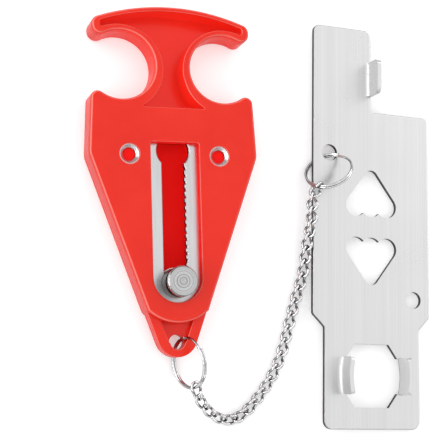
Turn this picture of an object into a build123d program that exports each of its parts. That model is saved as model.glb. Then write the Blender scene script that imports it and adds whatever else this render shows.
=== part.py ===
from build123d import *
import math
import os

# A portable door lock, lying face up on a flat surface.
#
# The moulded body has a T grip at the top and a tapered tip that wedges against
# the door. A steel plate is moulded into it, with a slot down the middle, and a
# turned stud slides along that slot. The strike plate hooks its claws into the
# strike in the door frame, and one of the lobes of its openings drops over the
# neck of the stud. A short curb chain and two split rings keep the two together.
#
# Frame: millimetres. Z points up, out of the front of the body. Y runs along the
# body towards the grip. The origin is on the back face of the body, halfway
# between its two pin holes.

# Moulded body: outline, as heights above and depths below the line of pin holes
body_thickness = 10.0
grip_height = 51.7
grip_span = 55.8
grip_crown = 5.4
grip_end_round = 3.0
scallop_radius = 11.8
scallop_spread = 36.1
scallop_height = 30.6
shoulder_span = 56.0
shoulder_round = 2.5
waist_span = 58.9
waist_round = 6.0
tip_depth = 67.8
tip_radius = 7.05
front_edge_round = 1.2
back_edge_chamfer = 0.5
seam_width = 0.3
seam_depth = 0.25
seam_below_front = 2.1

# Moulded body: pockets and holes
grip_rim = 1.8
grip_end_wall = 2.7
grip_pocket_floor = 2.0
grip_pocket_base_height = 16.3
grip_pocket_side_wall = 3.2
grip_pocket_side_shift = 0.35
grip_pocket_side_drop = 1.1
grip_pocket_end_round_share = 0.32
grip_pocket_toe_round = 0.2
pocket_edge_round = 0.4
pin_hole_spacing = 31.4
pin_hole_radius = 3.4
window_width = 16.9
window_top_height = 4.35
window_corner_round = 0.8
window_end_above_tip = 26.5
channel_width = 12.2
channel_floor = 2.0
tip_step = 2.5
tip_step_radius = 15.3
tip_wall = 3.6
tip_web = 2.2
tip_relief = 3.0
tip_hole_radius = 2.5
tip_hole_wall = 2.6

# Slot plate: the steel that is moulded into the body
slot_plate_thickness = 2.0
slot_plate_cover = 3.0
slot_plate_strip_width = 20.8
slot_plate_head_width = 41.0
slot_plate_head_top = 10.0
slot_plate_head_base = 8.0
slot_plate_corner_round = 2.0
slot_plate_neck_slope = 9.0
slot_width = 7.9
slot_end_drop = 2.0
slot_edge_chamfer = 0.3
keyhole_radius = 5.7
keyhole_height = 1.9
tooth_pitch = 2.42
tooth_depth = 0.35
tooth_radius = 0.8
tooth_run_start = 2.9

# Pin holes: a steel collar flares out to the front, round a moulded core pin
core_pin_radius = 2.15
core_pin_below_front = 1.7
pin_collar_play = 0.15
pin_collar_lip = 0.2
pin_collar_below_front = 0.45

# Locking stud: one turned piece
stud_head_radius = 5.1
stud_head_height = 2.0
stud_head_chamfer = 0.4
stud_neck_radius = 3.5
stud_neck_height = 1.75
stud_collar_radius = 5.1
stud_collar_rise = 2.2
stud_flange_radius = 5.4
stud_flange_height = 2.0
stud_groove_width = 0.3
stud_groove_depth = 0.15
stud_grooves = 3
stud_pip_radius = 0.5
stud_clearance = 0.3

# Strike plate: flat pattern, from its lower left corner
sheet_thickness = 1.6
sheet_bend_radius = 1.0
sheet_edge_round = 0.45
plate_height = 145.0
plate_width = 46.8
plate_shelf_height = 114.3
tower_width = 23.2
leg_width = 37.8
leg_height = 35.4
leg_inset = 4.6
shoulder_slope = 4.5
corner_round = 2.5
leg_corner_round = 3.0
small_round = 1.5
tab_width = 12.5
tab_base_height = 120.0
tab_height = 8.0
tab_corner_round = 2.0
ring_hole_radius = 3.0
ring_hole_x = 1.75
ring_hole_height = 97.8
spare_hole_radius = 3.0
spare_hole_x = 35.6
spare_hole_height = 46.15
feature_line_x = 18.5
heart_middle_height = 71.75
heart_lobe_radius = 4.0
heart_lobe_pitch = 6.15
heart_lobe_offset = 7.75
heart_apex_radius = 2.8
heart_apex_offset = 18.05
octagon_height = 18.65
octagon_half_height = 11.15
octagon_flat = 13.4
claw_reach = 11.0
claw_curve_radius = 25.0
claw_width = 12.3
claw_height = 7.5
claw_corner_round = 1.2

# How the strike plate lies: it rests on its right edge and on the ring under it
plate_corner_x = 52.81
plate_corner_depth = 93.68
plate_turn_angle = -2.766
plate_tilt_angle = 3.0

# Split rings: two turns of wire
ring_wire = 0.9
ring_outer_radius = 8.75
ring_turn_pitch = 0.84
ring_end_gap = 0.3
ring_rest_gap = 0.05
tip_ring_lean_angle = 69.2
tip_ring_heading_angle = 188.25
tip_ring_hook_angle = -77.5
tip_ring_end_angle = 60.0
tip_ring_across_share = 0.4
tip_ring_down_share = 0.85
plate_ring_lean_angle = 51.4
plate_ring_heading_angle = 127.15
plate_ring_hook_angle = -126.5
plate_ring_end_angle = 40.0
plate_ring_across_share = -0.254
plate_ring_down_share = 0.883

# Curb chain
link_wire = 1.0
link_width = 4.4
link_length = 7.05
link_twist_angle = 80.0
link_play = 0.25
run_count = 6
links_per_run = 4
chain_start_roll_angle = 25.0
chain_end_roll_angle = 8.0
chain_rest_gap = 0.1
hook_play = 0.55
chain_rolled_links = 4
# Points between the two rings: share of the span along it, share across it, and
# share of the climb from the surface to the nearer ring's hook
chain_route_shares = (
    (-0.039, -0.055, 0.79),
    (-0.051, -0.126, 0.45),
    (-0.042, -0.191, 0.18),
    (-0.009, -0.235, 0.04),
    (0.104, -0.270, 0.0),
    (0.222, -0.275, 0.0),
    (0.349, -0.254, 0.0),
    (0.456, -0.220, 0.0),
    (0.578, -0.183, 0.0),
    (0.676, -0.154, 0.03),
    (0.774, -0.099, 0.27),
    (0.871, -0.048, 0.66),
    (0.962, 0.01, 0.99),
)

# One overrun serves every cut that passes right through
overrun = 1.0

os.makedirs("parts", exist_ok=True)


def save(piece, label):
    """Name a finished piece and write it as its own file."""
    piece.label = label
    export_step(piece, f"parts/{label}.step")


# Heights in the body, from the back face up
steel_top = body_thickness - slot_plate_cover
steel_base = steel_top - slot_plate_thickness
rim_top = body_thickness - tip_step
core_pin_top = body_thickness - core_pin_below_front
tip_hole_depth = tip_depth - tip_hole_wall - tip_hole_radius

# Ends of the window and of the slot, measured down from the line of pin holes
window_end_depth = tip_depth - window_end_above_tip
slot_end_depth = window_end_depth + slot_end_drop

# The body's outline: top arc, arm ends, scallops, shoulders, waist, taper and tip
arm = grip_span / 2
grip_side_height = grip_height - grip_crown
waist = waist_span / 2
tip_centre = tip_radius - tip_depth
taper_reach = math.hypot(waist, tip_centre)
taper_angle = math.acos(tip_radius / taper_reach) - math.atan2(-tip_centre, waist)
tip_side_x = tip_radius * math.cos(taper_angle)
tip_side_y = tip_centre - tip_radius * math.sin(taper_angle)


def outline_corners(outline, low, high):
    """Corners down the two sides of the body, between two heights."""
    sides = outline.vertices().filter_by(lambda corner: abs(corner.X) > scallop_spread / 2)
    return sides.filter_by_position(Axis.Y, low, high)


with BuildSketch(Plane.XY) as body_outline:
    with BuildLine():
        ThreePointArc((-arm, grip_side_height), (0, grip_height), (arm, grip_side_height))
        Polyline(
            (arm, grip_side_height),
            (arm, scallop_height),
            (shoulder_span / 2, scallop_height),
            (waist, 0),
            (tip_side_x, tip_side_y),
        )
        ThreePointArc((tip_side_x, tip_side_y), (0, -tip_depth), (-tip_side_x, tip_side_y))
        Polyline(
            (-tip_side_x, tip_side_y),
            (-waist, 0),
            (-shoulder_span / 2, scallop_height),
            (-arm, scallop_height),
            (-arm, grip_side_height),
        )
    make_face()
    with Locations((-scallop_spread / 2, scallop_height), (scallop_spread / 2, scallop_height)):
        Circle(scallop_radius, mode=Mode.SUBTRACT)
    fillet(outline_corners(body_outline, scallop_height, grip_height), grip_end_round)
    fillet(outline_corners(body_outline, overrun, scallop_height), shoulder_round)
    fillet(outline_corners(body_outline, -overrun, overrun), waist_round)

# The pocket in the grip: its top follows the crown and its sides follow the scallops
crown_radius = (arm**2 + grip_crown**2) / (2 * grip_crown)
pocket_end_x = arm - grip_end_wall
pocket_end_y = grip_height - crown_radius + math.sqrt((crown_radius - grip_rim) ** 2 - pocket_end_x**2)
pocket_side_x = scallop_spread / 2 + grip_pocket_side_shift
pocket_side_y = scallop_height - grip_pocket_side_drop
pocket_side_radius = scallop_radius + grip_pocket_side_wall
pocket_end_base = pocket_side_y + math.sqrt(pocket_side_radius**2 - (pocket_end_x - pocket_side_x) ** 2)
pocket_end_round = (pocket_end_y - pocket_end_base) * grip_pocket_end_round_share
with BuildPart() as grip_pocket:
    with BuildSketch(Plane.XY.offset(grip_pocket_floor)):
        with BuildLine():
            ThreePointArc(
                (-pocket_end_x, pocket_end_y), (0, grip_height - grip_rim), (pocket_end_x, pocket_end_y)
            )
            Polyline(
                (pocket_end_x, pocket_end_y),
                (pocket_end_x, scallop_height),
                (pocket_side_x, scallop_height),
                (pocket_side_x, grip_pocket_base_height),
                (-pocket_side_x, grip_pocket_base_height),
                (-pocket_side_x, scallop_height),
                (-pocket_end_x, scallop_height),
                (-pocket_end_x, pocket_end_y),
            )
        make_face()
        with Locations((-pocket_side_x, pocket_side_y), (pocket_side_x, pocket_side_y)):
            Circle(pocket_side_radius, mode=Mode.SUBTRACT)
    extrude(amount=body_thickness)
    pocket_corners = grip_pocket.edges().filter_by(Axis.Z)
    fillet(pocket_corners.filter_by_position(Axis.Y, scallop_height, grip_height), pocket_end_round)
    fillet(grip_pocket.edges().filter_by(Axis.Z).group_by(Axis.Y)[0], grip_pocket_toe_round)

# The stepped zone of the tip: what lies below the arc round the end of the window
with BuildSketch(Plane.XY) as tip_zone:
    with Locations((0, -(window_end_depth + tip_depth) / 2 - overrun)):
        Rectangle(waist_span, tip_depth - window_end_depth + 2 * overrun)
    with Locations((0, -window_end_depth)):
        Circle(tip_step_radius, mode=Mode.SUBTRACT)

# The window in the front: square at the top, round at the bottom
with BuildSketch(Plane.XY) as window:
    with Locations((0, (window_top_height - window_end_depth) / 2)):
        Rectangle(window_width, window_top_height + window_end_depth)
    fillet(window.vertices().group_by(Axis.Y)[-1], window_corner_round)
    with Locations((0, -window_end_depth)):
        Circle(window_width / 2)

# The slot plate's outline: a broad head with the pin holes, and a strip down to the tip
strip = slot_plate_strip_width / 2
head = slot_plate_head_width / 2
with BuildSketch(Plane.XY) as slot_plate_outline:
    with BuildLine():
        Polyline(
            (strip, -window_end_depth),
            (strip, -slot_plate_head_base - slot_plate_neck_slope),
            (head, -slot_plate_head_base),
            (head, slot_plate_head_top),
            (-head, slot_plate_head_top),
            (-head, -slot_plate_head_base),
            (-strip, -slot_plate_head_base - slot_plate_neck_slope),
            (-strip, -window_end_depth),
        )
        ThreePointArc(
            (-strip, -window_end_depth),
            (0, -window_end_depth - strip),
            (strip, -window_end_depth),
        )
    make_face()
    head_corners = slot_plate_outline.vertices().filter_by_position(
        Axis.Y, -slot_plate_head_base, slot_plate_head_top
    )
    fillet(head_corners, slot_plate_corner_round)

pin_hole_places = [(-pin_hole_spacing / 2, 0), (pin_hole_spacing / 2, 0)]

# The moulded body
with BuildPart() as lock_body:
    with BuildSketch(Plane.XY):
        add(body_outline.sketch)
    extrude(amount=rim_top)
    with BuildSketch(Plane.XY.offset(rim_top)):
        add(body_outline.sketch)
        add(tip_zone.sketch, mode=Mode.SUBTRACT)
    extrude(amount=tip_step)
    front = lock_body.faces().sort_by(Axis.Z)[-1]
    fillet(front.outer_wire().edges(), front_edge_round)
    back = lock_body.faces().sort_by(Axis.Z)[0]
    chamfer(back.outer_wire().edges(), back_edge_chamfer)
    # A fine seam runs round the side walls, just under the rounded front edge
    with BuildSketch(Plane.XY.offset(body_thickness - seam_below_front)):
        add(body_outline.sketch)
        offset(body_outline.sketch, amount=-seam_depth, mode=Mode.SUBTRACT)
        add(tip_zone.sketch, mode=Mode.SUBTRACT)
    extrude(amount=seam_width, mode=Mode.SUBTRACT)
    add(grip_pocket.part, mode=Mode.SUBTRACT)
    # The window shows the slot plate, which fills its cavity
    with BuildSketch(Plane.XY.offset(steel_top)):
        add(window.sketch)
    extrude(amount=body_thickness, mode=Mode.SUBTRACT)
    with BuildSketch(Plane.XY.offset(steel_base)):
        add(slot_plate_outline.sketch)
    extrude(amount=slot_plate_thickness, mode=Mode.SUBTRACT)
    # Behind the slot lies the channel for the stud's rear flange
    with BuildSketch(Plane.XY.offset(channel_floor)):
        with Locations((0, (keyhole_height - slot_end_depth) / 2)):
            SlotCenterToCenter(keyhole_height + slot_end_depth, channel_width, rotation=90)
    extrude(amount=steel_base - channel_floor, mode=Mode.SUBTRACT)
    # Pin holes in front of the steel, and the core pins that stand in them
    with BuildSketch(Plane.XY.offset(steel_top)):
        with Locations(*pin_hole_places):
            Circle(pin_hole_radius)
    extrude(amount=body_thickness, mode=Mode.SUBTRACT)
    with BuildSketch(Plane.XY.offset(steel_base)):
        with Locations(*pin_hole_places):
            Circle(core_pin_radius)
    extrude(amount=core_pin_top - steel_base)
    # Tip: a pocket inside the rim, a relief underneath, and the hole for the ring
    with BuildSketch(Plane.XY.offset(tip_relief + tip_web)):
        offset(body_outline.sketch, amount=-tip_wall)
        with BuildSketch(mode=Mode.INTERSECT):
            add(tip_zone.sketch)
    extrude(amount=body_thickness, mode=Mode.SUBTRACT)
    with BuildSketch(Plane.XY):
        add(tip_zone.sketch)
    extrude(amount=tip_relief, mode=Mode.SUBTRACT)
    with BuildSketch(Plane.XY):
        with Locations((0, -tip_hole_depth)):
            Circle(tip_hole_radius)
    extrude(amount=body_thickness, mode=Mode.SUBTRACT)
    # The rims of the pockets, the window and the pin holes are slightly rounded
    front = lock_body.faces().sort_by(Axis.Z)[-1]
    fillet(front.inner_wires().edges(), pocket_edge_round)
    tip_rim = lock_body.edges().filter_by(
        lambda edge: abs(edge.center().Z - rim_top) < pocket_edge_round / 2
        and edge.center().Y < -window_end_depth - tip_step_radius
        and edge.bounding_box().size.Z < pocket_edge_round / 2
    )
    fillet(tip_rim, pocket_edge_round)
save(lock_body.part, "lock_body")

# The slot plate, with shallow waves down the right side of its slot, and its collars
tooth_rows = int((slot_end_depth - 2 * tooth_run_start) / tooth_pitch)
tooth_x = slot_width / 2 + tooth_depth - tooth_radius
tooth_places = [(tooth_x, -tooth_run_start - tooth_pitch * (row + 1 / 2)) for row in range(tooth_rows)]
collar_bore = core_pin_radius + pin_collar_play
collar_height = body_thickness - pin_collar_below_front - steel_top
with BuildPart() as slot_plate:
    with BuildSketch(Plane.XY.offset(steel_base)):
        add(slot_plate_outline.sketch)
        with Locations((0, (keyhole_height - slot_end_depth) / 2)):
            SlotCenterToCenter(
                keyhole_height + slot_end_depth, slot_width, rotation=90, mode=Mode.SUBTRACT
            )
        with Locations((0, keyhole_height)):
            Circle(keyhole_radius, mode=Mode.SUBTRACT)
        with Locations(*tooth_places):
            Circle(tooth_radius, mode=Mode.SUBTRACT)
    extrude(amount=slot_plate_thickness)
    plate_front = slot_plate.faces().sort_by(Axis.Z)[-1]
    chamfer(plate_front.inner_wires().edges(), slot_edge_chamfer)
    with BuildSketch(Plane.XY.offset(steel_top)):
        with Locations(*pin_hole_places):
            Circle(pin_hole_radius)
    extrude(amount=collar_height)
    with BuildSketch(Plane.XY.offset(steel_base)):
        with Locations(*pin_hole_places):
            Circle(collar_bore)
    extrude(amount=body_thickness, mode=Mode.SUBTRACT)
    collar_rims = slot_plate.edges().group_by(Axis.Z)[-1].group_by(SortBy.RADIUS)[0]
    chamfer(collar_rims, pin_hole_radius - pin_collar_lip - collar_bore)
save(slot_plate.part, "slot_plate")

# The locking stud, turned about its own axis at the bottom of the slot
stud_place = -slot_end_depth + stud_clearance / 2
stud_shank_radius = slot_width / 2 - stud_clearance
flange_base = steel_base - stud_clearance - stud_flange_height
flange_top = flange_base + stud_flange_height
collar_base = steel_top + stud_clearance
collar_top = body_thickness + stud_collar_rise
head_base = collar_top + stud_neck_height
head_top = head_base + stud_head_height
groove_pitch = (stud_head_radius - stud_head_chamfer) / (stud_grooves + 1)
stud_section = Plane(origin=(0, stud_place, 0), x_dir=(1, 0, 0), z_dir=(0, -1, 0))
with BuildPart() as locking_stud:
    with BuildSketch(stud_section):
        with BuildLine():
            Polyline(
                (0, flange_base),
                (stud_flange_radius, flange_base),
                (stud_flange_radius, flange_top),
                (stud_shank_radius, flange_top),
                (stud_shank_radius, collar_base),
                (stud_collar_radius, collar_base),
                (stud_collar_radius, collar_top),
                (stud_neck_radius, collar_top),
                (stud_neck_radius, head_base),
                (stud_head_radius, head_base),
                (stud_head_radius, head_top - stud_head_chamfer),
                (stud_head_radius - stud_head_chamfer, head_top),
                (0, head_top),
                (0, flange_base),
            )
        make_face()
        # Tool marks: a centre pip and fine grooves in the face of the head
        with Locations((0, head_top)):
            Circle(stud_pip_radius, mode=Mode.SUBTRACT)
        for groove in range(stud_grooves):
            with Locations((groove_pitch * (groove + 1), head_top)):
                Rectangle(stud_groove_width, 2 * stud_groove_depth, mode=Mode.SUBTRACT)
        with Locations((-stud_head_radius, head_top)):
            Rectangle(2 * stud_head_radius, 2 * stud_head_radius, mode=Mode.SUBTRACT)
    revolve(axis=Axis((0, stud_place, 0), (0, 0, 1)))
save(locking_stud.part, "locking_stud")

# The strike plate's own plane: X across it, Y up it, Z out of its front. Its right
# edge rests on the surface, and its left edge is propped up by the ring.
turn = math.radians(plate_turn_angle)
tilt = math.radians(plate_tilt_angle)
plate_right = plate_width - leg_inset
across = Vector(math.cos(turn), math.sin(turn), 0)
plate_x = across * math.cos(tilt) - Vector(0, 0, 1) * math.sin(tilt)
plate_z = across * math.sin(tilt) + Vector(0, 0, 1) * math.cos(tilt)
plate_back = Plane(
    origin=(plate_corner_x, -plate_corner_depth, plate_right * math.sin(tilt)),
    x_dir=plate_x,
    z_dir=plate_z,
)

# The outline of the sheet: leg, body with a shelf, and tower
tower_right = tower_width - leg_inset
with BuildSketch(Plane.XY) as sheet_outline:
    with BuildLine():
        Polyline(
            (0, 0),
            (leg_width, 0),
            (leg_width, leg_height),
            (plate_right, leg_height + shoulder_slope),
            (plate_right, plate_shelf_height),
            (tower_right, plate_shelf_height),
            (tower_right, plate_height),
            (-leg_inset, plate_height),
            (-leg_inset, leg_height + shoulder_slope),
            (0, leg_height),
            (0, 0),
        )
    make_face()
    by_height = sheet_outline.vertices().group_by(Axis.Y)
    fillet(by_height[0], leg_corner_round)
    fillet(sheet_outline.vertices().filter_by_position(Axis.Y, leg_height, plate_shelf_height), small_round)
    fillet(sheet_outline.vertices().group_by(Axis.Y)[-1], corner_round)

# One opening for the stud: three lobes side by side and a rounded apex
with BuildSketch(Plane.XY) as heart:
    with Locations((-heart_lobe_pitch, 0), (heart_lobe_pitch, 0)):
        Circle(heart_lobe_radius)
    with Locations((0, heart_apex_offset - heart_lobe_offset)):
        Circle(heart_apex_radius)
    make_hull()
    with Locations((0, -heart_lobe_radius)):
        Rectangle(plate_width, 2 * heart_lobe_radius, mode=Mode.SUBTRACT)
    with Locations((-heart_lobe_pitch, 0), (0, 0), (heart_lobe_pitch, 0)):
        Circle(heart_lobe_radius)

# The octagonal opening, widened to where the two claws bend up out of the sheet.
# Each claw is slightly curved, about a point beyond the other side of the opening.
claw_curve_offset = claw_curve_radius - claw_reach
bend_outer = claw_curve_radius + sheet_thickness + sheet_bend_radius
claw_half_turn = math.asin(claw_width / 2 / claw_curve_radius)
claw_end_x = claw_curve_radius * math.cos(claw_half_turn) - claw_curve_offset
with BuildSketch(Plane.XY) as octagon:
    with BuildLine():
        Polyline(
            (octagon_flat / 2, octagon_half_height),
            (claw_end_x, claw_width / 2),
            (claw_end_x, -claw_width / 2),
            (octagon_flat / 2, -octagon_half_height),
            (-octagon_flat / 2, -octagon_half_height),
            (-claw_end_x, -claw_width / 2),
            (-claw_end_x, claw_width / 2),
            (-octagon_flat / 2, octagon_half_height),
            (octagon_flat / 2, octagon_half_height),
        )
    make_face()
cut_x = bend_outer * math.cos(claw_half_turn) - claw_curve_offset
cut_y = bend_outer * math.sin(claw_half_turn)
cut_start_y = claw_curve_offset * math.tan(claw_half_turn)
cut_reach = bend_outer - claw_curve_offset
with BuildSketch(Plane.XY) as claw_cuts:
    for side in (-1, 1):
        with BuildLine():
            Polyline(
                (side * cut_x, cut_y),
                (0, cut_start_y),
                (0, -cut_start_y),
                (side * cut_x, -cut_y),
            )
            ThreePointArc((side * cut_x, -cut_y), (side * cut_reach, 0), (side * cut_x, cut_y))
        make_face()

# The strike plate: one sheet, with two claws and a tab bent out of its front
out_of_plate = Axis(plate_back.origin, plate_back.z_dir)
bend_centre_z = sheet_thickness + sheet_bend_radius
tab_bend_x = tower_right - sheet_thickness - sheet_bend_radius
claw_centre = plate_back.from_local_coords((feature_line_x, octagon_height, 0))
tab_section = Plane(
    origin=plate_back.from_local_coords((0, tab_base_height, 0)),
    x_dir=plate_back.x_dir,
    z_dir=-plate_back.y_dir,
)


def bent_sheet(root, outward, height):
    """Face of a sheet that turns up through a bend: root is where the bend starts."""
    inner, outer = sheet_bend_radius, sheet_bend_radius + sheet_thickness
    turn_in, turn_out = root + outward * inner, root + outward * outer
    diagonal = math.sqrt(1 / 2)
    with BuildSketch(Plane.XY) as section:
        with BuildLine():
            Polyline((root, 0), (root, sheet_thickness))
            ThreePointArc(
                (root, sheet_thickness),
                (root + outward * inner * diagonal, bend_centre_z - inner * diagonal),
                (turn_in, bend_centre_z),
            )
            Polyline(
                (turn_in, bend_centre_z),
                (turn_in, height),
                (turn_out, height),
                (turn_out, bend_centre_z),
            )
            ThreePointArc(
                (turn_out, bend_centre_z),
                (root + outward * outer * diagonal, bend_centre_z - outer * diagonal),
                (root, 0),
            )
        make_face()
    return section.sketch


tab_profile = bent_sheet(tab_bend_x, 1, sheet_thickness + tab_height)
claw_profile = bent_sheet(bend_outer, -1, sheet_thickness + claw_height)

with BuildPart() as strike_plate:
    with BuildSketch(plate_back):
        add(sheet_outline.sketch)
    extrude(amount=sheet_thickness)
    sheet_front = strike_plate.faces().sort_by(out_of_plate)[-1]
    fillet(sheet_front.outer_wire().edges(), sheet_edge_round)
    with BuildSketch(plate_back):
        with Locations((ring_hole_x, ring_hole_height)):
            Circle(ring_hole_radius)
        with Locations((spare_hole_x, spare_hole_height)):
            Circle(spare_hole_radius)
        with Locations((feature_line_x, heart_middle_height + heart_lobe_offset)):
            add(heart.sketch)
        with Locations((feature_line_x, heart_middle_height - heart_lobe_offset)):
            add(heart.sketch, rotation=180)
        with Locations((feature_line_x, octagon_height)):
            add(octagon.sketch)
            add(claw_cuts.sketch)
        with Locations((tab_bend_x, tab_base_height)):
            Rectangle(tower_width, tab_width, align=(Align.MIN, Align.MIN))
    extrude(amount=sheet_thickness, mode=Mode.SUBTRACT)
    with BuildSketch(tab_section):
        add(tab_profile)
    extrude(amount=-tab_width)
    tab_corners = strike_plate.edges().filter_by(Axis(plate_back.origin, plate_back.x_dir))
    fillet(tab_corners.group_by(out_of_plate)[-1], tab_corner_round)
    for side in (-1, 1):
        curve_centre = claw_centre - plate_back.x_dir * side * claw_curve_offset
        claw_start = plate_back.x_dir * math.cos(claw_half_turn) - plate_back.y_dir * math.sin(claw_half_turn)
        radial = claw_start * side
        with BuildSketch(Plane(origin=curve_centre, x_dir=radial, z_dir=radial.cross(plate_back.z_dir))):
            add(claw_profile)
        revolve(
            axis=Axis(curve_centre, plate_back.z_dir), revolution_arc=2 * math.degrees(claw_half_turn)
        )
    straight_edges = strike_plate.edges().filter_by(GeomType.LINE)
    claw_corners = straight_edges.filter_by(
        lambda edge: abs(edge.length - sheet_thickness) < sheet_edge_round
        and (edge.center() - claw_centre).dot(plate_back.z_dir) > claw_height
        and (edge.center() - claw_centre).length < 2 * claw_width
    )
    fillet(claw_corners, claw_corner_round)
save(strike_plate.part, "strike_plate")

# Split rings. Each stands on the surface, leaning away from upright.
ring_radius = ring_outer_radius - ring_wire / 2


def ring_plane(lean, heading, x, y):
    """Plane of a ring whose axis leans from vertical towards the heading, both in degrees."""
    slope, course = math.radians(lean), math.radians(heading)
    ring_axis = Vector(
        math.sin(slope) * math.cos(course), math.sin(slope) * math.sin(course), math.cos(slope)
    )
    rise = ring_radius * math.sin(slope) + ring_turn_pitch / 2 * math.cos(slope)
    centre = Vector(x, y, rise + ring_wire / 2 + ring_rest_gap)
    return Plane(origin=centre, x_dir=ring_axis.cross(Vector(0, 0, 1)), z_dir=ring_axis)


def on_ring(plane, heading, radius):
    """Point in the ring's plane that lies the given way from its centre, seen from above."""
    course = math.radians(heading)
    flat = Vector(math.cos(course), math.sin(course), 0)
    climb = -flat.dot(plane.z_dir) / plane.z_dir.Z
    return plane.origin + (flat + Vector(0, 0, climb)).normalized() * radius


def split_ring(plane, label, end_angle):
    """Two turns of wire side by side, each with the gap where its end lies."""
    section = Plane(origin=plane.origin, x_dir=plane.x_dir, z_dir=-plane.y_dir)
    with BuildPart() as ring:
        with BuildSketch(section):
            with Locations((ring_radius, -ring_turn_pitch / 2), (ring_radius, ring_turn_pitch / 2)):
                Circle(ring_wire / 2)
        revolve(axis=Axis(plane.origin, plane.z_dir))
        for end_side in (-1, 1):
            place = math.radians(end_angle * end_side)
            with BuildSketch(plane):
                with Locations((ring_radius * math.cos(place), ring_radius * math.sin(place))):
                    Rectangle(2 * ring_wire, ring_end_gap, rotation=end_angle * end_side)
            extrude(amount=end_side * ring_wire, mode=Mode.SUBTRACT)
    save(ring.part, label)


tip_ring_plane = ring_plane(
    tip_ring_lean_angle,
    tip_ring_heading_angle,
    ring_radius * tip_ring_across_share,
    -tip_hole_depth - ring_radius * tip_ring_down_share,
)
ring_hole = plate_back.from_local_coords((ring_hole_x, ring_hole_height, 0))
plate_ring_plane = ring_plane(
    plate_ring_lean_angle,
    plate_ring_heading_angle,
    ring_hole.X + ring_radius * plate_ring_across_share,
    ring_hole.Y - ring_radius * plate_ring_down_share,
)
split_ring(tip_ring_plane, "tip_ring", tip_ring_end_angle)
split_ring(plate_ring_plane, "plate_ring", plate_ring_end_angle)

# The chain: bars of the link, as seen along and across it
link_round = (link_width - link_wire) / 2
link_straight = (link_length - link_wire) / 2 - link_round
link_side = link_round * math.cos(math.radians(link_twist_angle / 2))
link_lift = link_round * math.sin(math.radians(link_twist_angle / 2))
link_pitch = link_length - 2 * link_wire - link_play
link_count = run_count * links_per_run
chain_height = link_lift + link_wire / 2 + chain_rest_gap

# The chain starts inside one ring and ends inside the other
hook_radius = ring_radius - ring_wire / 2 - hook_play
chain_start = on_ring(tip_ring_plane, tip_ring_hook_angle, hook_radius)
chain_end = on_ring(plate_ring_plane, plate_ring_hook_angle, hook_radius)
span = Vector(chain_end.X - chain_start.X, chain_end.Y - chain_start.Y, 0)
span_side = Vector(-span.Y, span.X, 0)


def chain_route(bow):
    """Smooth line through the route's points, bowed out sideways by a factor."""
    points = [chain_start]
    for along, aside, climb in chain_route_shares:
        nearer_hook = chain_start.Z if along < 1 / 2 else chain_end.Z
        place = Vector(chain_start.X, chain_start.Y, 0) + span * along + span_side * aside * bow
        points.append(place + Vector(0, 0, chain_height + (nearer_hook - chain_height) * climb))
    return Edge.make_spline(points + [chain_end])


# The bow is set so that the whole number of links fills the route
least_bow, most_bow = 0.0, 3.0
for halving in range(30):
    bow = (least_bow + most_bow) / 2
    if chain_route(bow).length < link_count * link_pitch:
        least_bow = bow
    else:
        most_bow = bow
route = chain_route(bow)
chain_nodes = [
    route.position_at(route.length * step / link_count, position_mode=PositionMode.LENGTH)
    for step in range(link_count + 1)
]


def link_plane(start, end, roll):
    """Plane of a link between two points, rolled about its own length."""
    along = (end - start).normalized()
    up = (Vector(0, 0, 1) - along * along.Z).normalized()
    lean = math.radians(roll)
    return Plane(
        origin=(start + end) / 2,
        x_dir=along,
        z_dir=up * math.cos(lean) + along.cross(up) * math.sin(lean),
    )


def chain_link(plane, label):
    """Closed twisted link: an end loop each way, joined by sides that curve across."""
    def at(x, y, z):
        return plane.from_local_coords((x, y, z))

    with BuildPart() as link:
        for end in (-1, 1):
            heading = plane.x_dir * -end
            near, far = (end * link_straight, link_side), (end * link_straight, -link_side)
            with BuildLine() as half:
                TangentArc(at(*near, end * link_lift), at(0, link_side, 0), tangent=heading)
                ThreePointArc(
                    at(*near, end * link_lift),
                    at(end * (link_straight + link_round), 0, 0),
                    at(*far, -end * link_lift),
                )
                TangentArc(at(*far, -end * link_lift), at(0, -link_side, 0), tangent=heading)
            bar = half.wires()[0]
            with BuildSketch(Plane(origin=bar @ 0, z_dir=bar % 0)):
                Circle(link_wire / 2)
            sweep(path=bar)
    save(link.part, label)


# The first and last few links roll, so that their loops stand square to the rings
for index in range(link_count):
    from_start = max(0, 1 - index / chain_rolled_links)
    from_end = max(0, 1 - (link_count - 1 - index) / chain_rolled_links)
    roll = chain_start_roll_angle * from_start + chain_end_roll_angle * from_end
    plane = link_plane(chain_nodes[index], chain_nodes[index + 1], roll)
    chain_link(plane, f"chain_link_{index + 1:02d}")
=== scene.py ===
# %% [markdown]
# # A portable door lock, laid out face up
#
# The real object is a red moulded body with a steel insert and a sliding stud, a
# brushed steel strike plate, and a short curb chain that joins them through two
# split rings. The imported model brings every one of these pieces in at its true
# size and place. This lesson lights them, gives each a finish, and remodels the
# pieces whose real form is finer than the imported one.

import math

import bpy
import numpy as np
from mathutils import Matrix, Vector


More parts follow.
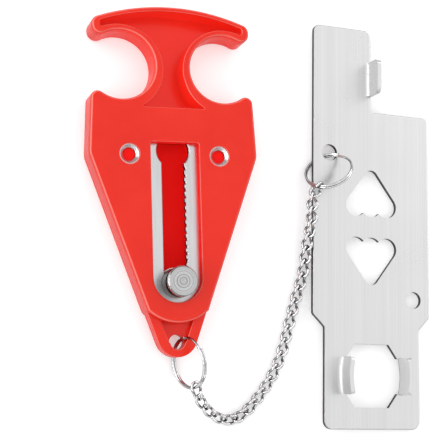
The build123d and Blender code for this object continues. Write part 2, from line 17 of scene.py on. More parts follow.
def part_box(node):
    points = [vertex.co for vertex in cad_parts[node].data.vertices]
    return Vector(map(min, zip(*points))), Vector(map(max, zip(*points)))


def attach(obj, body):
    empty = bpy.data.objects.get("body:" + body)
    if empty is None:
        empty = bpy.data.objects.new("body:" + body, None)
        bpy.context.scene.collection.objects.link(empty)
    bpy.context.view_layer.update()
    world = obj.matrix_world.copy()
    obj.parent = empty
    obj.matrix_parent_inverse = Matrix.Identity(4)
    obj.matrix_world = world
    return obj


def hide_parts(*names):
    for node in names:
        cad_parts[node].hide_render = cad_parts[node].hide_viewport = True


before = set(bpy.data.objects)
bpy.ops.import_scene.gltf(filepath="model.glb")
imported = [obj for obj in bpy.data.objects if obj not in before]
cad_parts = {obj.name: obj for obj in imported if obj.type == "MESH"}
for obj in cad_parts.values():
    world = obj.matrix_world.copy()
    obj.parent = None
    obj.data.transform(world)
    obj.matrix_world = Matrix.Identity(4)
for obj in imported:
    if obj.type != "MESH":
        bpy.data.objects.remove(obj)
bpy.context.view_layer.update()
bpy.ops.object.select_all(action="DESELECT")

# %% [markdown]
# ## The camera
#
# The photograph was taken from nearly straight above, a little to the left and
# below the middle of the layout, with a long lens. The camera could be aimed with
# a constraint, but its three directions were worked out from the photograph, so
# they go straight into its matrix: right, up, and back towards the viewer.

# %% Camera
MM = 0.001
EYE = Vector((-103.94, -73.42, 370.96)) * MM
CAMERA_RIGHT = Vector((0.95160, -0.02942, 0.30594))
CAMERA_UP = Vector((-0.01319, 0.99058, 0.13628))
LENS = 92.49
SENSOR = 36.0
NEAREST = 0.01
FARTHEST = 20.0

camera_back = CAMERA_RIGHT.cross(CAMERA_UP).normalized()
camera_up = camera_back.cross(CAMERA_RIGHT).normalized()
camera_turn = Matrix((CAMERA_RIGHT.normalized(), camera_up, camera_back)).transposed()

camera_data = bpy.data.cameras.new("photo_camera")
camera_data.lens = LENS
camera_data.sensor_width = SENSOR
camera_data.clip_start = NEAREST
camera_data.clip_end = FARTHEST
camera = bpy.data.objects.new("photo_camera", camera_data)
camera.matrix_world = Matrix.Translation(EYE) @ camera_turn.to_4x4()
bpy.context.scene.collection.objects.link(camera)
bpy.context.scene.camera = camera
bpy.context.scene.view_settings.view_transform = "Standard"
print("camera looks along", tuple(round(-c, 3) for c in camera_back))

# %% [markdown]
# ## Writing shader nodes
#
# A finish is a graph of nodes. By hand each node is added, placed and wired with
# the mouse; in code that is many lines for every node. These helpers add one node,
# wire it and give back its result, so that a finish reads as a few sums.

# %% Node helpers
def add_node(tree, kind, place=(0, 0), **settings):
    """A new shader node, with its settings and its unlinked inputs filled in."""
    node = tree.nodes.new(kind)
    node.location = place
    for name, value in settings.items():
        if name.startswith("in_"):
            node.inputs[name[3:].replace("_", " ")].default_value = value
        else:
            setattr(node, name, value)
    return node


def feed(tree, socket, source):
    """An input takes its value from another node's output, or takes a plain value."""
    if isinstance(source, bpy.types.NodeSocket):
        tree.links.new(source, socket)
    else:
        socket.default_value = source


def new_material(name):
    """An empty material: its node tree, and its output node."""
    material = bpy.data.materials.new(name)
    material.use_nodes = True
    material.node_tree.nodes.clear()
    output = add_node(material.node_tree, "ShaderNodeOutputMaterial", (900, 0))
    return material, material.node_tree, output


# %% Sum helpers
def math_of(tree, operation, *sources, place=(0, 0)):
    """The result of one Math node."""
    node = add_node(tree, "ShaderNodeMath", place, operation=operation)
    for socket, source in zip(node.inputs, sources):
        feed(tree, socket, source)
    return node.outputs[0]


def vector_of(tree, operation, *sources, place=(0, 0)):
    """The result of one Vector Math node: a number for a dot product or a length."""
    node = add_node(tree, "ShaderNodeVectorMath", place, operation=operation)
    for socket, source in zip(node.inputs, sources):
        feed(tree, socket, source)
    return node.outputs["Value" if operation in ("DOT_PRODUCT", "LENGTH") else "Vector"]


def spread(tree, source, low, high, place=(0, 0), start=0.3, end=0.7, **settings):
    """Maps a value that runs from start to end onto low to high."""
    node = add_node(tree, "ShaderNodeMapRange", place, **settings)
    for name, value in (("From Min", start), ("From Max", end), ("To Min", low), ("To Max", high)):
        node.inputs[name].default_value = value
    tree.links.new(source, node.inputs["Value"])
    return node.outputs[0]


# %% Colour helpers
def mix_of(tree, share, first, second, place=(0, 0), kind="RGBA"):
    """Runs from the first colour or number to the second as the share goes from 0 to 1."""
    node = add_node(tree, "ShaderNodeMix", place, data_type=kind)
    for name, source in (("Factor", share), ("A", first), ("B", second)):
        feed(tree, node.inputs[name], source)
    return node.outputs["Result"]


def tint(tree, source, dark, light, place=(0, 0), start=0.3, end=0.7):
    """A colour that runs from dark to light as a value does."""
    ramp = add_node(tree, "ShaderNodeValToRGB", place)
    stops = ramp.color_ramp.elements
    stops[0].position, stops[0].color = start, (*dark, 1)
    stops[1].position, stops[1].color = end, (*light, 1)
    tree.links.new(source, ramp.inputs["Fac"])
    return ramp.outputs["Color"]


# %% [markdown]
# ## The floor
#
# The object lies on a plain white sheet. A small plane would show its far edge in
# the side views, so the sheet is large. Its white comes from its own colour, with a
# little glow that only direct views and, more weakly, reflections see: that lifts
# the paper to white and leaves soft shadows on it.

# %% Paper material and floor
PAPER_SIZE = 6.0
PAPER_DROP = 0.0002
PAPER_COLOUR = (0.86, 0.86, 0.865, 1)
PAPER_ROUGHNESS = 0.9
PAPER_SHINE = 0.1
PAPER_GLOW = 0.36
PAPER_GLOW_REFLECTED = 0.1
WHITE = (1, 1, 1, 1)

paper, tree, output = new_material("white_paper")
rays = add_node(tree, "ShaderNodeLightPath", (-400, 200)).outputs
direct = math_of(
    tree, "MAXIMUM", rays["Is Camera Ray"], rays["Is Transmission Ray"], place=(-200, 300)
)
mirrored = math_of(
    tree, "MULTIPLY", rays["Is Glossy Ray"], PAPER_GLOW_REFLECTED, place=(-200, 100)
)
glow = math_of(tree, "MULTIPLY_ADD", direct, PAPER_GLOW, mirrored, place=(0, 200))
shader = add_node(tree, "ShaderNodeBsdfPrincipled", (400, 0), in_Roughness=PAPER_ROUGHNESS)
shader.inputs["Base Color"].default_value = PAPER_COLOUR
shader.inputs["Specular IOR Level"].default_value = PAPER_SHINE
shader.inputs["Emission Color"].default_value = WHITE
tree.links.new(glow, shader.inputs["Emission Strength"])
tree.links.new(shader.outputs[0], output.inputs["Surface"])

bpy.ops.mesh.primitive_plane_add(size=PAPER_SIZE, location=(0, 0, -PAPER_DROP))
floor = bpy.context.object
floor.name = "floor"
floor.data.materials.append(paper)
bpy.ops.object.select_all(action="DESELECT")
print("floor:", PAPER_SIZE, "m across")

# %% [markdown]
# ## The light
#
# A product photograph like this one is lit by a white room and two broad soft
# boxes. The room is the world: bright overhead and dull towards the horizon, with
# a dark patch where the camera and its stand would be, so that bright wire has
# something dark to show. A thin bright band runs round it low down, strongest on
# the left: it draws a fine line along every rounded edge. The soft boxes stand low
# on both sides, where the flat steel doesn't mirror them to the camera. Seen
# directly, beyond the edge of the paper, the room is plain white.

# %% Room
ROOM_TOP = 0.89
ROOM_HORIZON = 0.2
ROOM_HEIGHTS = (0.0, 0.8)
STAND_WAY = Vector((-0.40, -0.16, 0.90)).normalized()
STAND_EDGE = (0.955, 0.985)
STAND_LEVEL = 0.55
SMOOTH = "SMOOTHSTEP"

world = bpy.data.worlds.new("studio_room")
bpy.context.scene.world = world
world.use_nodes = True
tree = world.node_tree
tree.nodes.clear()
direction = add_node(tree, "ShaderNodeTexCoord", (-600, 0)).outputs["Generated"]
split = add_node(tree, "ShaderNodeSeparateXYZ", (-400, 0))
tree.links.new(direction, split.inputs[0])
sideways, upwards = split.outputs["X"], split.outputs["Z"]
height = spread(
    tree, upwards, ROOM_HORIZON, ROOM_TOP, (-200, 0), *ROOM_HEIGHTS, interpolation_type=SMOOTH
)
towards = vector_of(tree, "DOT_PRODUCT", direction, STAND_WAY, place=(-400, -300))
stand = spread(tree, towards, 1.0, STAND_LEVEL, (-200, -300), *STAND_EDGE, interpolation_type=SMOOTH)
shaded = math_of(tree, "MULTIPLY", height, stand, place=(0, -100))
print("room:", ROOM_TOP, "overhead,", ROOM_HORIZON, "at the horizon")

# %% Band and backdrop
BAND_HEIGHT = 0.42
BAND_EDGE = (0.012, 0.030)
BAND_LEVEL = 4.0
BAND_LEAN = -3.0
BACKDROP_WHITE = 1.0

above = math_of(tree, "SUBTRACT", upwards, BAND_HEIGHT, place=(-200, -500))
off_band = math_of(tree, "ABSOLUTE", above, place=(0, -500))
on_band = spread(tree, off_band, 1.0, 0.0, (200, -500), *BAND_EDGE, interpolation_type=SMOOTH)
leaning = math_of(tree, "MULTIPLY_ADD", sideways, BAND_LEAN, BAND_LEVEL, place=(0, -700))
lit = math_of(tree, "MULTIPLY_ADD", on_band, leaning, shaded, place=(200, -300))
rays = add_node(tree, "ShaderNodeLightPath", (0, -900)).outputs
seen = math_of(
    tree, "MAXIMUM", rays["Is Camera Ray"], rays["Is Transmission Ray"], place=(200, -900)
)
room = add_node(tree, "ShaderNodeBackground", (600, 0))
room.inputs["Color"].default_value = WHITE
strength = mix_of(tree, seen, lit, BACKDROP_WHITE, (400, -300), "FLOAT")
tree.links.new(strength, room.inputs["Strength"])
room_output = add_node(tree, "ShaderNodeOutputWorld", (900, 0))
tree.links.new(room.outputs[0], room_output.inputs["Surface"])
print("band:", BAND_LEVEL - BAND_LEAN, "on the left,", BAND_LEVEL + BAND_LEAN, "on the right")

# %% Soft boxes
LAMP_TARGET = Vector((0.035, -0.02, 0.0))
SOFT_BOXES = {
    "left_box": dict(place=(-0.85, 0.10, 0.40), size=(0.9, 0.45), power=2.4),
    "right_box": dict(place=(0.85, 0.30, 0.48), size=(0.9, 0.4), power=1.6),
}


def lamp(name, place, size, power):
    """A rectangular soft source that faces the middle of the layout."""
    data = bpy.data.lights.new(name, "AREA")
    data.shape = "RECTANGLE"
    data.size, data.size_y = size
    data.energy = power
    made = bpy.data.objects.new(name, data)
    made.location = place
    away = LAMP_TARGET - made.location
    made.rotation_euler = away.to_track_quat("-Z", "Y").to_euler()
    bpy.context.scene.collection.objects.link(made)
    print(name, "lamp:", round(away.length, 3), "m away,", power, "W")


for name, values in SOFT_BOXES.items():
    lamp(name, **values)

# %% [markdown]
# ## Effects that the finishes are built from
#
# Each of these is a node group with its own inputs, built once and then placed in
# the materials that need it. `handling` is the slow unevenness that fingers
# leave: it puts out a value around one half. `brushed` is fine straight scratches,
# made from noise that is stretched along one axis. `grain` is the fine texture of
# a mould or a cast skin. `within` puts out one inside a box and zero outside it.

# %% Group builder
def new_group(name, inputs, outputs):
    """A shader node group with the inputs and float outputs named; gives its tree and ends."""
    group = bpy.data.node_groups.new(name, "ShaderNodeTree")
    for socket, kind, value in inputs:
        made = group.interface.new_socket(socket, in_out="INPUT", socket_type=kind)
        if value is not None:
            made.default_value = value
    for socket in outputs:
        group.interface.new_socket(socket, in_out="OUTPUT", socket_type="NodeSocketFloat")
    entry = add_node(group, "NodeGroupInput", (-900, 0))
    leave = add_node(group, "NodeGroupOutput", (900, 0))
    return group, entry.outputs, leave.inputs


def place_group(tree, group, vector, place=(0, 0), **values):
    """A group in a material, with its pattern laid on a vector and its inputs filled in."""
    node = add_node(tree, "ShaderNodeGroup", place)
    node.node_tree = group
    for name, value in values.items():
        node.inputs[name].default_value = value
    tree.links.new(vector, node.inputs["Vector"])
    return node


# %% Handling group
PATCH_ROUGHNESS = 0.6

handling, entry, leave = new_group(
    "handling",
    [
        ("Vector", "NodeSocketVector", None),
        ("Scale", "NodeSocketFloat", 60.0),
        ("Detail", "NodeSocketFloat", 4.0),
    ],
    ["Value"],
)
patches = add_node(handling, "ShaderNodeTexNoise", (-300, 0), in_Roughness=PATCH_ROUGHNESS)
for socket in ("Vector", "Scale", "Detail"):
    handling.links.new(entry[socket], patches.inputs[socket])
handling.links.new(patches.outputs["Fac"], leave["Value"])
print("group:", handling.name)

# %% Brushed group
FINE_LINES = dict(in_Scale=1.0, in_Detail=3.0)
BROAD_LINES = dict(in_Scale=0.16, in_Detail=2.0)

brushed, entry, leave = new_group(
    "brushed",
    [
        ("Vector", "NodeSocketVector", None),
        ("Across", "NodeSocketVector", (2500.0, 12.0, 2500.0)),
    ],
    ["Value", "Broad"],
)
stretch = vector_of(brushed, "MULTIPLY", entry["Vector"], entry["Across"], place=(-600, 0))
for socket, values, drop in (("Value", FINE_LINES, 100), ("Broad", BROAD_LINES, -200)):
    lines = add_node(brushed, "ShaderNodeTexNoise", (-300, drop), **values)
    brushed.links.new(stretch, lines.inputs["Vector"])
    brushed.links.new(lines.outputs["Fac"], leave[socket])
print("group:", brushed.name)

# %% Grain group
GRAIN_TOP = 0.5
GRAIN_ROUNDING = 0.3

grain, entry, leave = new_group(
    "grain",
    [("Vector", "NodeSocketVector", None), ("Scale", "NodeSocketFloat", 2500.0)],
    ["Height"],
)
cells = add_node(grain, "ShaderNodeTexVoronoi", (-300, 100))
grain.links.new(entry["Vector"], cells.inputs["Vector"])
grain.links.new(entry["Scale"], cells.inputs["Scale"])
softened = math_of(
    grain, "SMOOTH_MIN", cells.outputs["Distance"], GRAIN_TOP, GRAIN_ROUNDING, place=(0, 100)
)
grain.links.new(softened, leave["Height"])
print("group:", grain.name)

# %% Box mask group
within, entry, leave = new_group(
    "within",
    [
        ("Vector", "NodeSocketVector", None),
        ("Centre", "NodeSocketVector", (0.0, 0.0, 0.0)),
        ("Half", "NodeSocketVector", (0.01, 0.01, 0.01)),
    ],
    ["Mask"],
)
moved = vector_of(within, "SUBTRACT", entry["Vector"], entry["Centre"], place=(-700, 0))
apart = vector_of(within, "ABSOLUTE", moved, place=(-500, 0))
margin = vector_of(within, "SUBTRACT", entry["Half"], apart, place=(-300, 0))
sides = add_node(within, "ShaderNodeSeparateXYZ", (-100, 0))
within.links.new(margin, sides.inputs[0])
least = math_of(within, "MINIMUM", sides.outputs["X"], sides.outputs["Y"], place=(100, 100))
least = math_of(within, "MINIMUM", least, sides.outputs["Z"], place=(300, 0))
within.links.new(math_of(within, "GREATER_THAN", least, 0.0, place=(500, 0)), leave["Mask"])
print("group:", within.name)

# %% [markdown]
# ## Red moulded plastic
#
# The body is one injection moulding in a hard, satin red plastic. Its colour is
# even, but the surface isn't a mirror: it carries a very fine grain from the mould
# and faint patches where it has been held. A plain Principled shader with a low
# roughness gives the broad soft highlight, and a little scattering under the skin
# makes the walls glow where the light comes through their edges. Down in the
# channel behind the slot, and on the core pins, the plastic is duller, and a deeper,
# purer red is painted there: painted shade, and painted bounce light between the red
# walls. Boxes round these places mark them off. A pale pink line is painted along the
# middle of each rounded edge, strongest on the left: a painted highlight, picked out
# by a ramp on the normal's height.

# %% Where the red changes
HANDLED_PATCHES = 55.0
CHANNEL_CENTRE = (0.0, -0.0225, 0.0047)
CHANNEL_HALF = (0.0088, 0.0275, 0.0047)
PIN_CENTRE = (0.0157, 0.0, 0.0047)
PIN_HALF = (0.0027, 0.0027, 0.0047)
POCKET_CENTRE = (0.0, 0.0335, 0.0047)
POCKET_HALF = (0.0256, 0.0176, 0.0047)

red_plastic, tree, output = new_material("red_plastic")
coordinates = add_node(tree, "ShaderNodeTexCoord", (-1200, 0)).outputs
on_body = coordinates["Object"]
held = place_group(tree, handling, on_body, (-900, 200), Scale=HANDLED_PATCHES).outputs["Value"]
channel = place_group(
    tree, within, on_body, (-900, 500), Centre=CHANNEL_CENTRE, Half=CHANNEL_HALF
)
either_side = vector_of(tree, "ABSOLUTE", on_body, place=(-1050, 700))
pins = place_group(tree, within, either_side, (-900, 700), Centre=PIN_CENTRE, Half=PIN_HALF)
inside = math_of(
    tree, "MAXIMUM", channel.outputs["Mask"], pins.outputs["Mask"], place=(-600, 600)
)
pocket = place_group(
    tree, within, on_body, (-900, 1300), Centre=POCKET_CENTRE, Half=POCKET_HALF
)
print("marked off: the channel, both pins and the grip's pocket")

# %% Red colour, painted deeper red and painted highlight lines
RED_DARK = (0.81, 0.014, 0.002)
RED_LIGHT = (0.86, 0.022, 0.006)
# Painted shade and bounce light: a deeper, purer red for the channel and the core pins.
PAINTED_RECESS_RED = (0.96, 0.002, 0.0, 1.0)
# Painted highlight: a pale pink line along the middle of each rounded edge, strongest on the left.
PAINTED_HIGHLIGHT_HEIGHTS = (0.50, 0.80, 0.96)
PAINTED_HIGHLIGHT_PINK = (1.0, 0.42, 0.36, 1.0)
PAINTED_HIGHLIGHT_STRENGTH = (0.65, 0.3)
PAINTED_HIGHLIGHT_TURN = (-0.6, 0.4)
BLACK = (0, 0, 0, 1)

facing = add_node(tree, "ShaderNodeSeparateXYZ", (-900, 900))
tree.links.new(coordinates["Normal"], facing.inputs[0])
painted_highlight_ramp = add_node(tree, "ShaderNodeValToRGB", (-700, 900))
stops = painted_highlight_ramp.color_ramp.elements
stops[0].position, stops[0].color = PAINTED_HIGHLIGHT_HEIGHTS[0], BLACK
stops[1].position, stops[1].color = PAINTED_HIGHLIGHT_HEIGHTS[2], BLACK
stops.new(PAINTED_HIGHLIGHT_HEIGHTS[1]).color = WHITE
tree.links.new(facing.outputs["Z"], painted_highlight_ramp.inputs["Fac"])
leftward = spread(tree, facing.outputs["X"], *PAINTED_HIGHLIGHT_STRENGTH, (-700, 1100), *PAINTED_HIGHLIGHT_TURN)
painted_highlight_share = math_of(
    tree, "MULTIPLY", painted_highlight_ramp.outputs["Color"], leftward, place=(-400, 900)
)
red = tint(tree, held, RED_DARK, RED_LIGHT, (-300, 300))
# the painted highlight line is laid over the red here
edged = mix_of(tree, painted_highlight_share, red, PAINTED_HIGHLIGHT_PINK, (-150, 500))
# the painted deeper red goes into the channel and onto the core pins
colour = mix_of(tree, inside, edged, PAINTED_RECESS_RED, (0, 300))
print("red from", RED_DARK, "to", RED_LIGHT)

# %% [markdown]
# In the channel and in the grip's pocket, a faint glow is painted in as light, so
# that the floors look nearly as bright as the front. Brighter lamps could lift them
# too, but those would wash out everything else, so the glow is written as an
# emission that is black outside these places.

# %% Red plastic
RED_ROUGHNESS = (0.20, 0.27)
CHANNEL_DULLING = 0.7
# Painted light: the glow that lifts the channel, the core pins and the pocket floor.
GLOW = 0.17
CHANNEL_GLOW = (0.47, 0.0, 0.0, 1.0)
POCKET_GLOW = (0.65, 0.035, 0.022, 1.0)
RED_FIXED = {
    "Specular IOR Level": 0.4,
    "IOR": 1.5,
    "Subsurface Weight": 0.35,
    "Subsurface Radius": (1.0, 0.2, 0.12),
    "Subsurface Scale": 0.002,
    "Emission Strength": GLOW,
}
MOULD_GRAIN = 3800.0
MOULD_BUMP = dict(in_Strength=0.12, in_Distance=0.00004)

shader = add_node(tree, "ShaderNodeBsdfPrincipled", (500, 0))
for socket, value in RED_FIXED.items():
    shader.inputs[socket].default_value = value
tree.links.new(colour, shader.inputs["Base Color"])
patchy = spread(tree, held, *RED_ROUGHNESS, (-300, 0))
roughness = math_of(tree, "MULTIPLY_ADD", inside, CHANNEL_DULLING, patchy)
tree.links.new(roughness, shader.inputs["Roughness"])
# painted light, black outside the channel, the core pins and the grip's pocket
channel_glow = mix_of(tree, inside, BLACK, CHANNEL_GLOW, (0, 600))
glow = mix_of(tree, pocket.outputs["Mask"], channel_glow, POCKET_GLOW, (200, 600))
tree.links.new(glow, shader.inputs["Emission Color"])
skin = place_group(tree, grain, on_body, (-900, -200), Scale=MOULD_GRAIN)
bump = add_node(tree, "ShaderNodeBump", (100, -300), **MOULD_BUMP)
tree.links.new(skin.outputs["Height"], bump.inputs["Height"])
tree.links.new(bump.outputs["Normal"], shader.inputs["Normal"])
tree.links.new(shader.outputs[0], output.inputs["Surface"])
print("material:", red_plastic.name)

# %% [markdown]
# ## Steels
#
# Three finishes of one metal. The strike plate is brushed along its length, so its
# scratches need the plate's own direction: the Mapping node turns the pattern to
# lie along the plate. The insert is cold rolled sheet, nearly smooth. The stud is
# turned on a lathe, so its marks run in rings round its axis. Its neck and collar
# are painted dark: painted shade in the groove under the head, and a painted dark
# reflection of the shaded recess on the collar. Where a sheet was punched, its cut
# walls are rough and dark. Painting them by hand would need a map for each sheet,
# so a mask compares each face's normal with the direction that the sheet faces. It
# stops just above the thicker sheet's thickness, so that bent parts stay bright.

# %% Punched walls
CUT_RANGE = (0.3, 0.95)
CUT_TOP = 0.00205


def punched_walls(tree, coordinates, node_name, face):
    """One on the walls that a punch left in a flat sheet, and zero elsewhere."""
    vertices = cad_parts[node_name].data.vertices
    sheet_back = min(vertex.co.dot(face) for vertex in vertices)
    facing = vector_of(tree, "DOT_PRODUCT", coordinates["Normal"], face, place=(-900, 500))
    upright = math_of(tree, "ABSOLUTE", facing, place=(-700, 500))
    steep = spread(tree, upright, 1.0, 0.0, (-500, 500), *CUT_RANGE)
    height = vector_of(tree, "DOT_PRODUCT", coordinates["Object"], face, place=(-900, 700))
    low = math_of(tree, "LESS_THAN", height, sheet_back + CUT_TOP, place=(-700, 700))
    return math_of(tree, "MULTIPLY", low, steep, place=(-300, 600))


# %% Steel builder
CUT_EDGE = (0.10, 0.10, 0.105, 1.0)
CUT_ROUGHER = 0.2
FINE_SHARE = 0.6
HANDLED_STEEL = 38.0
SCRATCH_DEPTH = 0.00002
SCRATCH_BUMP = 0.12
FACE_UP = Vector((0.0, 0.0, 1.0))


def steel(name, node_name, colour, roughness, across, turn_z=0.0, face=FACE_UP):
    """Metal with straight scratches: colour and roughness each run from low to high."""
    material, tree, output = new_material(name)
    coordinates = add_node(tree, "ShaderNodeTexCoord", (-1400, 0)).outputs
    turned = add_node(tree, "ShaderNodeMapping", (-1200, 0), vector_type="POINT")
    turned.inputs["Rotation"].default_value = (0, 0, -turn_z)
    tree.links.new(coordinates["Object"], turned.inputs["Vector"])
    on_sheet = turned.outputs[0]
    scratches = place_group(tree, brushed, on_sheet, (-900, 200), Across=across).outputs
    held = place_group(tree, handling, on_sheet, (-900, -200), Scale=HANDLED_STEEL)
    cut = punched_walls(tree, coordinates, node_name, face)

    broad = math_of(tree, "MULTIPLY", scratches["Broad"], 1 - FINE_SHARE, place=(-600, -100))
    both = math_of(
        tree, "MULTIPLY_ADD", scratches["Value"], FINE_SHARE, broad, place=(-600, 100)
    )
    shader = add_node(tree, "ShaderNodeBsdfPrincipled", (500, 0), in_Metallic=1.0)
    sheet_colour = tint(tree, both, *colour, (-300, 300))
    edged = mix_of(tree, cut, sheet_colour, CUT_EDGE, (0, 400))
    tree.links.new(edged, shader.inputs["Base Color"])
    patchy = spread(tree, held.outputs["Value"], *roughness, (-300, 0))
    rough = math_of(tree, "MULTIPLY_ADD", cut, CUT_ROUGHER, patchy)
    tree.links.new(rough, shader.inputs["Roughness"])
    bump = add_node(tree, "ShaderNodeBump", (100, -300), in_Distance=SCRATCH_DEPTH)
    bump.inputs["Strength"].default_value = SCRATCH_BUMP
    tree.links.new(scratches["Value"], bump.inputs["Height"])
    tree.links.new(bump.outputs["Normal"], shader.inputs["Normal"])
    tree.links.new(shader.outputs[0], output.inputs["Surface"])
    print("material:", material.name)
    return material


# %% Brushed and pressed sheet
PLATE_TURN = math.radians(-2.766)
PLATE_TILT = math.radians(3.0)

plate_face = Matrix.Rotation(PLATE_TURN, 3, "Z") @ Matrix.Rotation(PLATE_TILT, 3, "Y") @ FACE_UP
brushed_sheet = steel(
    "brushed_sheet",
    "strike_plate",
    colour=((0.755, 0.755, 0.755), (0.845, 0.845, 0.85)),
    roughness=(0.26, 0.32),
    across=(2600.0, 14.0, 2600.0),
    turn_z=PLATE_TURN,
    face=plate_face,
)
pressed_steel = steel(
    "pressed_steel",
    "slot_plate",
    colour=((0.66, 0.66, 0.67), (0.80, 0.80, 0.81)),
    roughness=(0.24, 0.34),
    across=(900.0, 60.0, 900.0),
)
print("the plate faces", tuple(round(c, 4) for c in plate_face))

# %% Rings round the stud's axis
RINGS_PER_METRE = 2600.0
RING_DARK = (0.34, 0.34, 0.345)
RING_LIGHT = (0.82, 0.82, 0.825)
RING_RANGE = (0.35, 0.65)

turned_steel, tree, output = new_material("turned_steel")
on_stud = add_node(tree, "ShaderNodeTexCoord", (-1400, 0)).outputs["Object"]
stud_low, stud_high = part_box("locking_stud")
stud_centre = (stud_low + stud_high) / 2
centred = add_node(tree, "ShaderNodeMapping", (-1200, 0), vector_type="POINT")
centred.inputs["Location"].default_value = (-stud_centre.x, -stud_centre.y, 0)
tree.links.new(on_stud, centred.inputs["Vector"])
level = vector_of(tree, "MULTIPLY", centred.outputs[0], (1, 1, 0), place=(-1000, 0))
away = vector_of(tree, "LENGTH", level, place=(-800, 0))
turns = add_node(tree, "ShaderNodeTexNoise", (-600, 0), noise_dimensions="1D", in_Detail=2.0)
turns.inputs["Scale"].default_value = RINGS_PER_METRE
tree.links.new(away, turns.inputs["W"])
rings = tint(tree, turns.outputs["Fac"], RING_DARK, RING_LIGHT, (-200, 300), *RING_RANGE)
print("rings centred on", tuple(round(c, 4) for c in stud_centre))

# %% Turned steel
NECK_CENTRE = (0.0, 0.0, 0.0106)
NECK_HALF = (1.0, 1.0, 0.0033)
# Painted shade: the neck and collar painted dark, for the groove's shade and the shaded recess that
# the collar mirrors.
PAINTED_NECK_SHADE = (0.13, 0.13, 0.135, 1.0)
HANDLED_STUD = 120.0
STUD_ROUGHNESS = (0.20, 0.32)
TURNING_BUMP = dict(in_Strength=0.5, in_Distance=0.00003)

neck = place_group(tree, within, on_stud, (-900, 500), Centre=NECK_CENTRE, Half=NECK_HALF)
rings_and_painted_shade = mix_of(tree, neck.outputs["Mask"], rings, PAINTED_NECK_SHADE, (100, 300))
shader = add_node(tree, "ShaderNodeBsdfPrincipled", (500, 0), in_Metallic=1.0)
tree.links.new(rings_and_painted_shade, shader.inputs["Base Color"])
held = place_group(tree, handling, on_stud, (-900, -300), Scale=HANDLED_STUD)
roughness = spread(tree, held.outputs["Value"], *STUD_ROUGHNESS, (-300, -200))
tree.links.new(roughness, shader.inputs["Roughness"])
bump = add_node(tree, "ShaderNodeBump", (100, -300), **TURNING_BUMP)
tree.links.new(turns.outputs["Fac"], bump.inputs["Height"])
tree.links.new(bump.outputs["Normal"], shader.inputs["Normal"])
tree.links.new(shader.outputs[0], output.inputs["Surface"])
print("material:", turned_steel.name)

# %% [markdown]
# ## Nickel plate
#
# The rings and the chain are plated wire: almost a mirror, a little softened by
# fine tumbling marks. Light and shade are painted on them: the side that faces up
# and out is painted bright, and the flanks and the insides of the links are painted
# dark. Painting that on each link would take 24 maps, so the colour follows each
# face's normal instead.

# %% Nickel
# Painted light and shade: faces turned up and out are painted bright, the flanks and the insides of
# the links dark.
PAINTED_LIGHT_WAY = Vector((-0.2, -0.1, 0.97)).normalized()
PAINTED_LIGHT_RANGE = (0.28, 0.78)
PAINTED_SHADE_FLANK = (0.09, 0.09, 0.095, 1.0)
PLATING_DARK = (0.74, 0.74, 0.75)
PLATING_LIGHT = (0.92, 0.92, 0.93)
HANDLED_WIRE = 260.0
WIRE_ROUGHNESS = (0.10, 0.24)

nickel, tree, output = new_material("nickel")
coordinates = add_node(tree, "ShaderNodeTexCoord", (-1200, 0)).outputs
held = place_group(tree, handling, coordinates["Object"], (-900, 0), Scale=HANDLED_WIRE)
marks = held.outputs["Value"]
facing = vector_of(tree, "DOT_PRODUCT", coordinates["Normal"], PAINTED_LIGHT_WAY, place=(-900, 300))
painted_light_share = spread(tree, facing, 0.0, 1.0, (-300, 100), *PAINTED_LIGHT_RANGE)
plating = tint(tree, marks, PLATING_DARK, PLATING_LIGHT, (-300, 300))
shader = add_node(tree, "ShaderNodeBsdfPrincipled", (500, 0), in_Metallic=1.0)
tree.links.new(mix_of(tree, painted_light_share, PAINTED_SHADE_FLANK, plating, (0, 300)), shader.inputs["Base Color"])
tree.links.new(spread(tree, marks, *WIRE_ROUGHNESS, (-300, 0)), shader.inputs["Roughness"])
tree.links.new(shader.outputs[0], output.inputs["Surface"])
print("material:", nickel.name)

# %% [markdown]
# ## Split rings
#
# A real split ring is one wire coiled twice. Both turns lie flat against each
# other, and the wire crosses from one layer to the other in a short jog, with its
# two cut ends on either side of the jog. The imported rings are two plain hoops, so
# each is remodelled here. A circle is spun through the first turn, then a step at
# a time through the jog with a small move along the axis at each step, then
# through the second turn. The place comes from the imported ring: its flattest
# direction is the axis, and the middle of its extent is the centre.

# %% Where a packed ring lies
WIRE = 0.00084


def ring_place(name):
    """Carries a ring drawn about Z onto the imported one; with the radius that its wire runs at."""
    points = np.array([vertex.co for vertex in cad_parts[name].data.vertices])
    spread_axes = np.linalg.svd(points - points.mean(axis=0), full_matrices=False)[2]
    axis = Vector(spread_axes[2] if spread_axes[2][2] > 0 else -spread_axes[2])
    level = axis.cross(Vector((0, 0, 1))).normalized()
    turned = Matrix((level, axis.cross(level), axis)).transposed()
    local = points @ np.array(turned)
    middle = (local.max(axis=0) + local.min(axis=0)) / 2
    radius = (local[:, 0].max() - local[:, 0].min() - WIRE) / 2
    return Matrix.Translation(turned @ Vector(middle)) @ turned.to_4x4(), radius


# %% Coil the wire
WIRE_SIDES = 14
TURN_STEPS = 44
JOG_STEPS = 10
TURN_ANGLE = math.radians(300)
JOG_ANGLE = math.radians(60)
WIRE_SMOOTH_BELOW = math.radians(40)
END_ANGLES = {"tip_ring": -60, "plate_ring": -40}


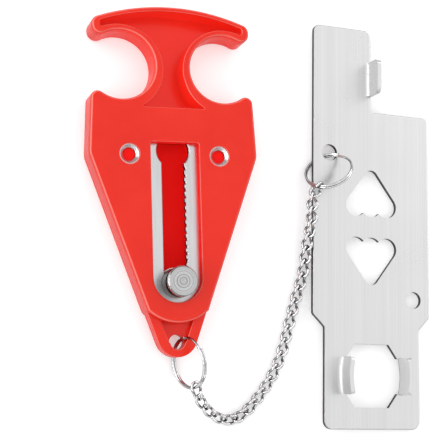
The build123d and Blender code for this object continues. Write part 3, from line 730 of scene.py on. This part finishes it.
def split_ring(name, end_angle):
    """A wire coiled twice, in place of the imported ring; its first end is at the given angle."""
    place, radius = ring_place(name)
    bpy.ops.mesh.primitive_circle_add(
        vertices=WIRE_SIDES,
        radius=WIRE / 2,
        location=(radius, 0, -WIRE / 2),
        rotation=(math.pi / 2, 0, 0),
    )
    ring = bpy.context.object
    ring.name = f"coiled_{name}"
    bpy.ops.object.transform_apply(location=True, rotation=True)
    bpy.ops.object.mode_set(mode="EDIT")
    bpy.ops.mesh.select_all(action="SELECT")
    around = dict(center=(0, 0, 0), axis=(0, 0, 1))
    bpy.ops.mesh.spin(steps=TURN_STEPS, angle=TURN_ANGLE, **around)
    for step in range(JOG_STEPS):
        bpy.ops.mesh.spin(steps=1, angle=JOG_ANGLE / JOG_STEPS, **around)
        bpy.ops.transform.translate(value=(0, 0, WIRE / JOG_STEPS))
    bpy.ops.mesh.spin(steps=TURN_STEPS, angle=TURN_ANGLE, **around)
    bpy.ops.mesh.select_all(action="SELECT")
    bpy.ops.mesh.fill_holes(sides=WIRE_SIDES)
    bpy.ops.mesh.normals_make_consistent(inside=False)
    bpy.ops.object.mode_set(mode="OBJECT")
    ring.matrix_world = place @ Matrix.Rotation(end_angle, 4, "Z")
    bpy.ops.object.transform_apply(location=True, rotation=True)
    bpy.ops.object.shade_smooth_by_angle(angle=WIRE_SMOOTH_BELOW)
    ring.data.materials.append(nickel)
    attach(ring, name)
    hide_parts(name)
    ring.select_set(False)
    print(ring.name, "radius", round(radius / MM, 2), "mm,", len(ring.data.polygons), "faces")


for name, degrees in END_ANGLES.items():
    split_ring(name, math.radians(degrees))

# %% [markdown]
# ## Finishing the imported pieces
#
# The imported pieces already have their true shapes, so each only gets its finish,
# and smooth shading on its curved faces. Flat faces keep their crisp edges,
# because only faces that meet at a shallow angle are smoothed together.

# %% Give each node its finish
FINISH = {
    "lock_body": red_plastic,
    "slot_plate": pressed_steel,
    "locking_stud": turned_steel,
    "strike_plate": brushed_sheet,
}
SMOOTH_BELOW = math.radians(30)

for name, node in sorted(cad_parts.items()):
    node.data.materials.clear()
    node.data.materials.append(FINISH.get(name, nickel))
    node.select_set(True)
    bpy.context.view_layer.objects.active = node
    bpy.ops.object.shade_smooth_by_angle(angle=SMOOTH_BELOW)
    node.select_set(False)
print("triangles:", sum(len(node.data.polygons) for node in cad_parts.values()))
